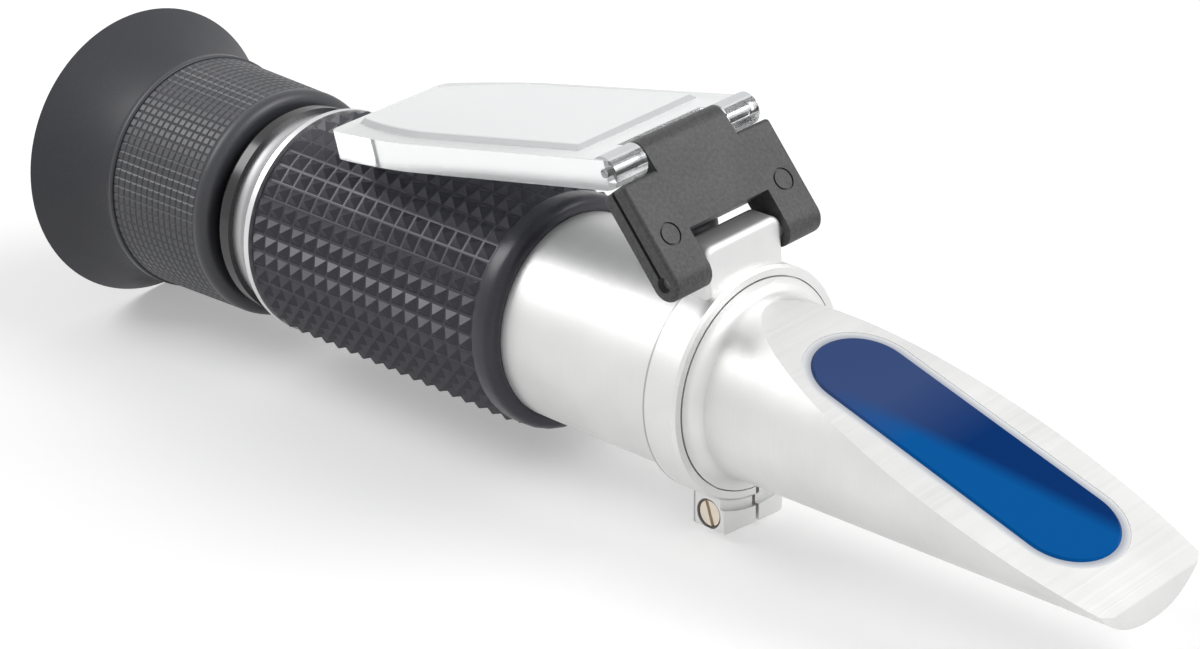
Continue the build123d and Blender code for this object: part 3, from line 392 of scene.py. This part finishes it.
turned_aluminium = satin_aluminium(
    "turned_aluminium", rings=True, blast_scale=3600, blast_depth=0.006 * MM
)
milled_aluminium = satin_aluminium(
    "milled_aluminium", rings=False, blast_scale=2400, blast_depth=0.012 * MM
)
dress(["barrel", "nose"], turned_aluminium)
dress(["clamp_ring"], milled_aluminium)
print("aluminium", turned_aluminium.name, milled_aluminium.name)

# %% Painted shade line where the clamp ends
SHADE_LINE_WIDTH = 0.22 * MM
SHADE_LINE_FADE = 0.4 * SHADE_LINE_WIDTH
SHADE_LINE_TONE = (0.42, 0.42, 0.42)


def painted_shade_line(finish, station):
    """Paints a thin darker line of shade round the tube where one part ends on another."""
    tree = finish.node_tree
    shader = tree.nodes["Principled BSDF"]
    before = shader.inputs["Base Color"].links[0].from_socket
    fade = station + SHADE_LINE_WIDTH
    share = spread(tree, place_on(tree)["X"], 1, 0, fade, fade + SHADE_LINE_FADE)
    with_shade_line = mix_colors(tree, share, before, SHADE_LINE_TONE)
    tree.links.new(with_shade_line, shader.inputs["Base Color"])


# painted shade: darkens the clamp's rear edge where it meets the barrel
painted_shade_line(milled_aluminium, clamp_low.x)
print("line at", round(clamp_low.x / MM, 2), "mm")

# %% Chrome, brass and steel
STREAK_SCALE = 2600
STREAKS_ROUND_THE_AXIS = (1, 0.01, 0.01)
STREAK_DEPTH = 0.002 * MM


def streaked_metal(name, color, roughness, streak):
    """Metal whose gloss changes a little from ring to ring."""
    finish, tree, shader = new_finish(name, color, roughness, metallic=1.0)
    rings = grain(tree, STREAK_SCALE, stretch=STREAKS_ROUND_THE_AXIS)
    gloss = spread(tree, rings, roughness, roughness + streak)
    tree.links.new(gloss, shader.inputs["Roughness"])
    raise_grain(tree, shader, rings, STREAK_DEPTH, strength=0.4)
    return finish


chrome = streaked_metal("ferrule_chrome", (0.71, 0.71, 0.72), roughness=0.40, streak=0.06)
pale_brass = streaked_metal("pale_brass", (0.78, 0.70, 0.60), roughness=0.30, streak=0.12)
bright_steel = streaked_metal("bright_steel", (0.72, 0.72, 0.73), roughness=0.34, streak=0.12)
black_anodised = streaked_metal("black_anodised", (0.03, 0.03, 0.033), roughness=0.42, streak=0.10)
dress(["rear_ferrule"], chrome)
dress(["clamp_screw", "bimetal_brass", "calibration_screw"], pale_brass)
dress(
    ["link_pin", "cover_pin", "bimetal_steel", "rear_strip_screw", "front_strip_screw",
     "push_pin"],
    bright_steel,
)
dress(
    ["scale_holder", "scale_retainer", "strip_block", "objective_cell", "objective_retainer",
     "light_stop", "eyepiece_tube", "lens_shim", "lens_spacer", "lens_retainer"],
    black_anodised,
)
print("metals", [m.name for m in (chrome, pale_brass, bright_steel, black_anodised)])

# %% [markdown]
# ## Rubber and black plastic
#
# Five blacks lie side by side and must not look the same. The eyecup is soft
# rubber and nearly matte. The grip is firmer rubber with a light sheen, and its
# front collar is smoother still. The focus ring is a paler plastic. The hinge
# link is moulded with a spark-eroded texture: small even grains with a scatter
# of light. The guide bush is polished. One recipe with a fine noise for colour
# and bump and a broad noise for gloss makes all five.

# %% Blacks
SMUDGE_SCALE = 90
SMUDGE_BELOW = 0.04
SMUDGE_ABOVE = 0.05


def black_finish(name, dark, light, roughness, grain_scale, depth):
    """Black with a fine grain and faint smudges in its gloss."""
    finish, tree, shader = new_finish(name, dark, roughness)
    fine = grain(tree, grain_scale, detail=3, roughness=0.6)
    tree.links.new(tint(tree, fine, dark, light), shader.inputs["Base Color"])
    smudges = grain(tree, SMUDGE_SCALE)
    gloss = spread(tree, smudges, roughness - SMUDGE_BELOW, roughness + SMUDGE_ABOVE)
    tree.links.new(gloss, shader.inputs["Roughness"])
    raise_grain(tree, shader, fine, depth, strength=0.8)
    return finish


cup_rubber = black_finish(
    "cup_rubber", (0.026, 0.027, 0.033), (0.035, 0.036, 0.043),
    roughness=0.56, grain_scale=4200, depth=0.010 * MM,
)
grip_rubber = black_finish(
    "grip_rubber", (0.018, 0.018, 0.028), (0.029, 0.029, 0.043),
    roughness=0.38, grain_scale=4200, depth=0.012 * MM,
)
ring_plastic = black_finish(
    "ring_plastic", (0.047, 0.048, 0.055), (0.062, 0.063, 0.072),
    roughness=0.40, grain_scale=5200, depth=0.008 * MM,
)
link_plastic = black_finish(
    "link_plastic", (0.026, 0.026, 0.028), (0.072, 0.072, 0.074),
    roughness=0.52, grain_scale=2600, depth=0.035 * MM,
)
bush_gloss = black_finish(
    "bush_gloss", (0.010, 0.010, 0.012), (0.014, 0.014, 0.017),
    roughness=0.14, grain_scale=900, depth=0.002 * MM,
)
dress(["eyecup", "calibration_cap"], cup_rubber)
dress(["eyepiece_o_ring", "nose_o_ring"], grip_rubber)
dress(["hinge_link"], link_plastic)
dress(["guide_bush"], bush_gloss)
print("blacks", [m.name for m in (cup_rubber, grip_rubber, ring_plastic, link_plastic, bush_gloss)])

# %% Smoother collar on the grip
GRIP_COLLAR = 3.3 * MM
COLLAR_ROUGHNESS = 0.31
COLLAR_BLEND = 0.1 * MM


def smoother_from(finish, station, roughness):
    """Lowers the roughness of a finish in front of a station along the tube."""
    tree = finish.node_tree
    shader = tree.nodes["Principled BSDF"]
    before = shader.inputs["Roughness"].links[0].from_socket
    share = spread(tree, place_on(tree)["X"], 0, 1, station, station + COLLAR_BLEND)
    mix = tree.nodes.new("ShaderNodeMix")
    tree.links.new(share, mix.inputs[0])
    tree.links.new(before, mix.inputs[2])
    mix.inputs[3].default_value = roughness
    tree.links.new(mix.outputs[0], shader.inputs["Roughness"])


x_collar = grip_high.x - GRIP_COLLAR
smoother_from(grip_rubber, x_collar, COLLAR_ROUGHNESS)
print("collar from", round(x_collar / MM, 2), "mm")

# %% [markdown]
# ## Prism, lenses and cement
#
# The prism's glass is clear, but what is seen through it is the deep blue of
# its coated underside. Over that blue lies a painted reflection: a greyer blue
# towards the hinge, navy on the far side and a bright blue wedge on the near
# side that widens towards the tip. Real glass would need that coating modelled,
# so we paint the blues on a smooth surface that mirrors very little. The cement
# round it is pale, greyer beside the prism and whiter towards the metal, so its
# colour follows the distance from the prism's rounded outline.

# %% Prism and lenses
HINGE_BLUE = (0.044, 0.080, 0.215)
NAVY = (0.001, 0.034, 0.165)
TIP_BLUE = (0.001, 0.100, 0.360)
NAVY_RUN = (0.28, 0.52)
BRIGHT_RUN = (0.16, 0.42)
REFLECTION_WEDGE_WIDENS = 0.90
REFLECTION_WEDGE_START = -0.02
REFLECTION_WEDGE_EDGE = (-0.07, 0.13)
PRISM_MIRRORS = 0.02
RIPPLE_SCALE = 60
RIPPLE_DEPTH = 0.004 * MM
DUST_SCALE = 700
DUST_HAZE = 0.03


def prism_blue():
    """Blues along the prism, with a painted reflection: navy far side, bright wedge on the near
    side.
    """
    finish, tree, shader = new_finish("prism_blue", (0.01, 0.08, 0.32), roughness=0.05)
    place = place_on(tree)
    along = spread(tree, place["X"], 0, 1, prism_low.x, prism_high.x)
    across = spread(tree, place["Y"], 0, 1, prism_low.y, prism_high.y)
    # painted reflection: the navy far side and the bright near-side wedge split the hinge blue
    deep = tint(tree, along, HINGE_BLUE, NAVY, *NAVY_RUN)
    bright = tint(tree, along, HINGE_BLUE, TIP_BLUE, *BRIGHT_RUN)
    reach = math_step(tree, "MULTIPLY_ADD", along, REFLECTION_WEDGE_WIDENS, REFLECTION_WEDGE_START)
    inside = math_step(tree, "SUBTRACT", reach, across)
    share = spread(tree, inside, 0, 1, *REFLECTION_WEDGE_EDGE)
    tree.links.new(mix_colors(tree, share, deep, bright), shader.inputs["Base Color"])
    shader.inputs["Specular IOR Level"].default_value = PRISM_MIRRORS
    ripple = grain(tree, RIPPLE_SCALE, detail=1)
    raise_grain(tree, shader, ripple, RIPPLE_DEPTH, strength=0.2)
    return finish


def clear_glass(name, color, roughness, index):
    """Clear glass with a trace of dust in its gloss."""
    finish, tree, shader = new_finish(name, color, roughness)
    shader.inputs["Transmission Weight"].default_value = 1.0
    shader.inputs["IOR"].default_value = index
    dust = spread(tree, grain(tree, DUST_SCALE), roughness, roughness + DUST_HAZE)
    tree.links.new(dust, shader.inputs["Roughness"])
    return finish


prism_glass = prism_blue()
lens_glass = clear_glass("lens_glass", (0.93, 0.96, 0.97), roughness=0.01, index=1.52)
dress(["main_prism"], prism_glass)
dress(["eye_lens", "field_lens", "objective_lens", "scale_disc"], lens_glass)
print("glass", prism_glass.name, lens_glass.name)

# %% Cement round the prism
FACE_ANGLE = math.atan2(prism_high.z - prism_low.z, prism_high.x - prism_low.x)
PRISM_HALF_LENGTH = 20.3 * MM
PRISM_ROUND = 5.96 * MM
CEMENT_WIDTH = 1.0 * MM
CEMENT_INNER = (0.48, 0.51, 0.57)
CEMENT_OUTER = (0.86, 0.87, 0.87)
CEMENT_RUN = (0.2, 0.95)
CEMENT_GRAIN = 900
CEMENT_DEPTH = 0.004 * MM


def cement_ring():
    """Pale cement, greyer beside the prism and whiter towards the metal."""
    finish, tree, shader = new_finish("cement", (0.62, 0.66, 0.72), roughness=0.30)
    place = place_on(tree, (prism_low + prism_high) / 2, FACE_ANGLE)
    past_straight = math_step(tree, "ABSOLUTE", place["X"])
    past_straight = math_step(tree, "SUBTRACT", past_straight, PRISM_HALF_LENGTH - PRISM_ROUND)
    past_straight = math_step(tree, "MAXIMUM", past_straight, 0)
    flat = tree.nodes.new("ShaderNodeCombineXYZ")
    tree.links.new(past_straight, flat.inputs["X"])
    tree.links.new(place["Y"], flat.inputs["Y"])
    radius = tree.nodes.new("ShaderNodeVectorMath")
    radius.operation = "LENGTH"
    tree.links.new(flat.outputs[0], radius.inputs[0])
    outer_edge = PRISM_ROUND + CEMENT_WIDTH
    across = spread(tree, radius.outputs["Value"], 0, 1, PRISM_ROUND, outer_edge)
    color = tint(tree, across, CEMENT_INNER, CEMENT_OUTER, *CEMENT_RUN)
    tree.links.new(color, shader.inputs["Base Color"])
    raise_grain(tree, shader, grain(tree, CEMENT_GRAIN), CEMENT_DEPTH, strength=0.3)
    return finish


cement = cement_ring()
dress(["prism_cement"], cement)
print("face angle", round(math.degrees(FACE_ANGLE), 1), "degrees")

# %% [markdown]
# ## The clear cover plate
#
# The plate is clear acrylic. On the side that touches the sample it has a
# raised pad, frosted and milky so that the drop spreads and the light softens,
# with greyer flanks. The rim on the face round it is made milky as well, which
# is painted light: it stands in for the light that the acrylic traps and lets
# out at its edge. All of these lie at different heights above the pad's face,
# so one height, measured square to the plate from its pin, drives roughness,
# clearness and colour.

# %% Clear cover plate
pin_low, pin_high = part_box("cover_pin")
COVER_PIN = (pin_low + pin_high) / 2
COVER_ANGLE = math.radians(190.90)
PAD_FACE = 2.3 * MM
PAD_RAISE = 0.7 * MM
PAD_ROOT = PAD_RAISE - PAD_FACE
HEIGHT_BLEND = 0.1 * MM
FLANK_START = 0.05 * MM
RIM_DEPTH = 0.02 * MM
PAD_ROUGHNESS = 0.38
PLATE_ROUGHNESS = 0.10
PAD_CLEARNESS = 0.10
LIT_RIM_CLEARNESS = 0.25
PAD_WHITE = (0.97, 0.98, 0.985)
FLANK_GREY = (0.68, 0.69, 0.70)
PLATE_CLEAR = (0.975, 0.985, 0.99)
ACRYLIC_INDEX = 1.49
ACRYLIC_GRAIN = 3000
ACRYLIC_DEPTH = 0.003 * MM


def cover_acrylic():
    """Clear acrylic whose pad, flanks and rim are told apart by their height."""
    finish, tree, shader = new_finish("cover_acrylic", (0.96, 0.975, 0.98), roughness=0.03)
    shader.inputs["Transmission Weight"].default_value = 1.0
    shader.inputs["IOR"].default_value = ACRYLIC_INDEX
    height = place_on(tree, COVER_PIN, -COVER_ANGLE)["Z"]

    def over(start, low, high):
        """Value that goes from low to high just above a height."""
        return spread(tree, height, low, high, start, start + HEIGHT_BLEND)

    pad_top = PAD_ROOT - HEIGHT_BLEND
    tree.links.new(over(pad_top, PAD_ROUGHNESS, PLATE_ROUGHNESS), shader.inputs["Roughness"])
    # painted light: the rim's lower clearness whitens it as trapped light would
    frosted_pad_and_lit_rim = over(pad_top, PAD_CLEARNESS, LIT_RIM_CLEARNESS)
    past_rim = over(PAD_ROOT + RIM_DEPTH, 0, 1 - LIT_RIM_CLEARNESS)
    clearness = math_step(tree, "ADD", frosted_pad_and_lit_rim, past_rim)
    tree.links.new(clearness, shader.inputs["Transmission Weight"])
    pad_color = mix_colors(tree, over(FLANK_START - PAD_FACE, 0, 1), PAD_WHITE, FLANK_GREY)
    color = mix_colors(tree, over(pad_top, 0, 1), pad_color, PLATE_CLEAR)
    tree.links.new(color, shader.inputs["Base Color"])
    raise_grain(tree, shader, grain(tree, ACRYLIC_GRAIN), ACRYLIC_DEPTH, strength=0.15)
    return finish


clear_acrylic = cover_acrylic()
dress(["cover_plate"], clear_acrylic)
print("cover pin at", [round(c / MM, 2) for c in COVER_PIN])

# %% [markdown]
# ## A kit for lathe work
#
# Grip and focus ring are both turned shapes with a pattern cut into them. We
# draw half a section as a chain of points, spin it about the tube's axis, and
# then push the faces of the pattern outwards. Insetting each face by itself
# and lifting it gives truncated pyramids in one step. On the grip a first inset
# without any lift leaves a narrow flat land between the pyramids.

# %% Helpers for lathe work
NEAR = 1e-6
DOUBLES = 1e-7


def lathe(points, steps):
    """Spins a closed section of (station, radius) points about the tube axis."""
    bm = bmesh.new()
    ring = [bm.verts.new((x, 0, AXIS_HEIGHT + r)) for x, r in points]
    edges = [bm.edges.new((a, b)) for a, b in zip(ring, ring[1:] + ring[:1])]
    bmesh.ops.spin(
        bm, geom=ring + edges, cent=AXIS_POINT, axis=(1, 0, 0), angle=2 * math.pi,
        steps=steps, use_merge=True,
    )
    bmesh.ops.remove_doubles(bm, verts=bm.verts, dist=DOUBLES)
    bmesh.ops.recalc_face_normals(bm, faces=bm.faces)
    return bm


def radius_of(point):
    """Distance from the tube axis."""
    return math.hypot(point.y, point.z - AXIS_HEIGHT)


def round_rim(bm, station, radius, rounding, segments):
    """Rounds the edge that runs round the axis at one station and radius."""
    rim = [
        e for e in bm.edges
        if all(abs(v.co.x - station) < NEAR for v in e.verts)
        and all(abs(radius_of(v.co) - radius) < NEAR for v in e.verts)
    ]
    bmesh.ops.bevel(
        bm, geom=rim, offset=rounding, segments=segments, profile=0.5, affect="EDGES",
        material=-1,
    )


def faces_between(bm, start, end, outside=0.0):
    """Faces whose middle lies between two stations and outside a radius."""
    middles = [(f, f.calc_center_median()) for f in bm.faces]
    return [f for f, middle in middles if start < middle.x < end and radius_of(middle) > outside]


def finish_piece(bm, name, finish, body, crisp):
    """Turns the bmesh into a piece that rides on a CAD body; crisp faces stay flat."""
    for face in bm.faces:
        face.smooth = face not in crisp
    mesh = bpy.data.meshes.new(name)
    bm.to_mesh(mesh)
    bm.free()
    piece = bpy.data.objects.new(name, mesh)
    mesh.materials.append(finish)
    bpy.context.scene.collection.objects.link(piece)
    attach(piece, body)
    print(name, "faces", len(mesh.polygons))
    return piece


# %% [markdown]
# ## The rubber grip
#
# Rows of small pyramids run round the grip and along it without a stagger. A
# rounded collar with a groove behind it ends the pattern at the barrel. A bump
# texture would be lighter, but the teeth show in the grip's outline, so they
# are real geometry.

# %% Grip sleeve with pyramids
GRIP_ROWS = 17
GRIP_COLUMNS = 39
GRIP_BAND = 0.1 * MM
GRIP_GROOVE = 0.2 * MM
GRIP_ROOT = 14.2 * MM
GRIP_TIP = 15.0 * MM
GRIP_FLAT = 0.20 * MM
GRIP_LAND = 0.34 * MM
GRIP_BORE = 12.78 * MM
COLLAR_RADIUS = 14.6 * MM
COLLAR_NOSE_ROUNDING = 1.3 * MM
COLLAR_REAR_ROUNDING = 0.35 * MM

x_pattern = grip_low.x + GRIP_BAND
x_pattern_end = x_collar - GRIP_GROOVE
pitch = (x_pattern_end - x_pattern) / GRIP_ROWS
section = [(grip_low.x, GRIP_BORE), (grip_low.x, GRIP_ROOT)]
section += [(x_pattern + row * pitch, GRIP_ROOT) for row in range(GRIP_ROWS + 1)]
section += [(x_collar, GRIP_ROOT), (x_collar, COLLAR_RADIUS)]
section += [(grip_high.x, COLLAR_RADIUS), (grip_high.x, GRIP_BORE)]
bm = lathe(section, GRIP_COLUMNS)
round_rim(bm, grip_high.x, COLLAR_RADIUS, COLLAR_NOSE_ROUNDING, segments=5)
round_rim(bm, x_collar, COLLAR_RADIUS, COLLAR_REAR_ROUNDING, segments=3)
pattern = faces_between(bm, x_pattern, x_pattern_end, outside=(GRIP_BORE + GRIP_ROOT) / 2)
bmesh.ops.inset_individual(
    bm, faces=pattern, thickness=GRIP_LAND / 2, depth=0, use_even_offset=True,
)
bmesh.ops.inset_individual(
    bm, faces=pattern, thickness=(pitch - GRIP_LAND - GRIP_FLAT) / 2,
    depth=GRIP_TIP - GRIP_ROOT, use_even_offset=True,
)
pyramids = set(faces_between(bm, x_pattern, x_pattern_end))
grip_sleeve = finish_piece(bm, "grip_sleeve", grip_rubber, "tube", pyramids)
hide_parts("rubber_grip")
print("pyramids", len(pattern))

# %% [markdown]
# ## The focus ring
#
# A smooth lip at its rear, then a fine square knurl as far as the rounded
# shoulder at the front. The knurl is real geometry too, only much finer.

# %% Focus ring with its knurl
KNURL_COLUMNS = 85
KNURL_ROWS = 14
KNURL_DEPTH = 0.12 * MM
KNURL_LAND = 0.78 * MM
FOCUS_LIP = 1.0 * MM
FOCUS_LIP_ROUNDING = 0.25 * MM
FOCUS_LIP_RADIUS = 16.0 * MM
FOCUS_REAR_RADIUS = 15.7 * MM
FOCUS_FRONT_RADIUS = 15.2 * MM
FOCUS_SHOULDER = 1.9 * MM
FOCUS_ROUNDING = 1.3 * MM
FOCUS_BORE = 12.03 * MM

x_lip = focus_low.x + FOCUS_LIP
x_knurl_end = focus_high.x - FOCUS_SHOULDER
slope = (FOCUS_FRONT_RADIUS - FOCUS_REAR_RADIUS) / (x_knurl_end - x_lip)
knurl_pitch = (x_knurl_end - x_lip) / KNURL_ROWS
section = [
    (focus_low.x, FOCUS_BORE),
    (focus_low.x, FOCUS_LIP_RADIUS),
    (x_lip, FOCUS_LIP_RADIUS),
]
for row in range(KNURL_ROWS + 1):
    x = x_lip + row * knurl_pitch
    section.append((x, FOCUS_REAR_RADIUS - KNURL_DEPTH + (x - x_lip) * slope))
section += [
    (x_knurl_end, FOCUS_FRONT_RADIUS),
    (focus_high.x, FOCUS_FRONT_RADIUS),
    (focus_high.x, FOCUS_BORE),
]
bm = lathe(section, KNURL_COLUMNS)
round_rim(bm, focus_high.x, FOCUS_FRONT_RADIUS, FOCUS_ROUNDING, segments=5)
round_rim(bm, x_lip, FOCUS_LIP_RADIUS, FOCUS_LIP_ROUNDING, segments=3)
mid_wall = (FOCUS_BORE + FOCUS_FRONT_RADIUS) / 2
knurl = faces_between(bm, x_lip + NEAR, x_knurl_end - NEAR, outside=mid_wall)
bmesh.ops.inset_individual(
    bm, faces=knurl, thickness=(knurl_pitch - KNURL_LAND) / 2, depth=KNURL_DEPTH,
    use_even_offset=True,
)
squares = set(faces_between(bm, x_lip, x_knurl_end))
focus_sleeve = finish_piece(bm, "focus_sleeve", ring_plastic, "eyepiece", squares)
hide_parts("focus_ring")
print("knurl squares", len(knurl))
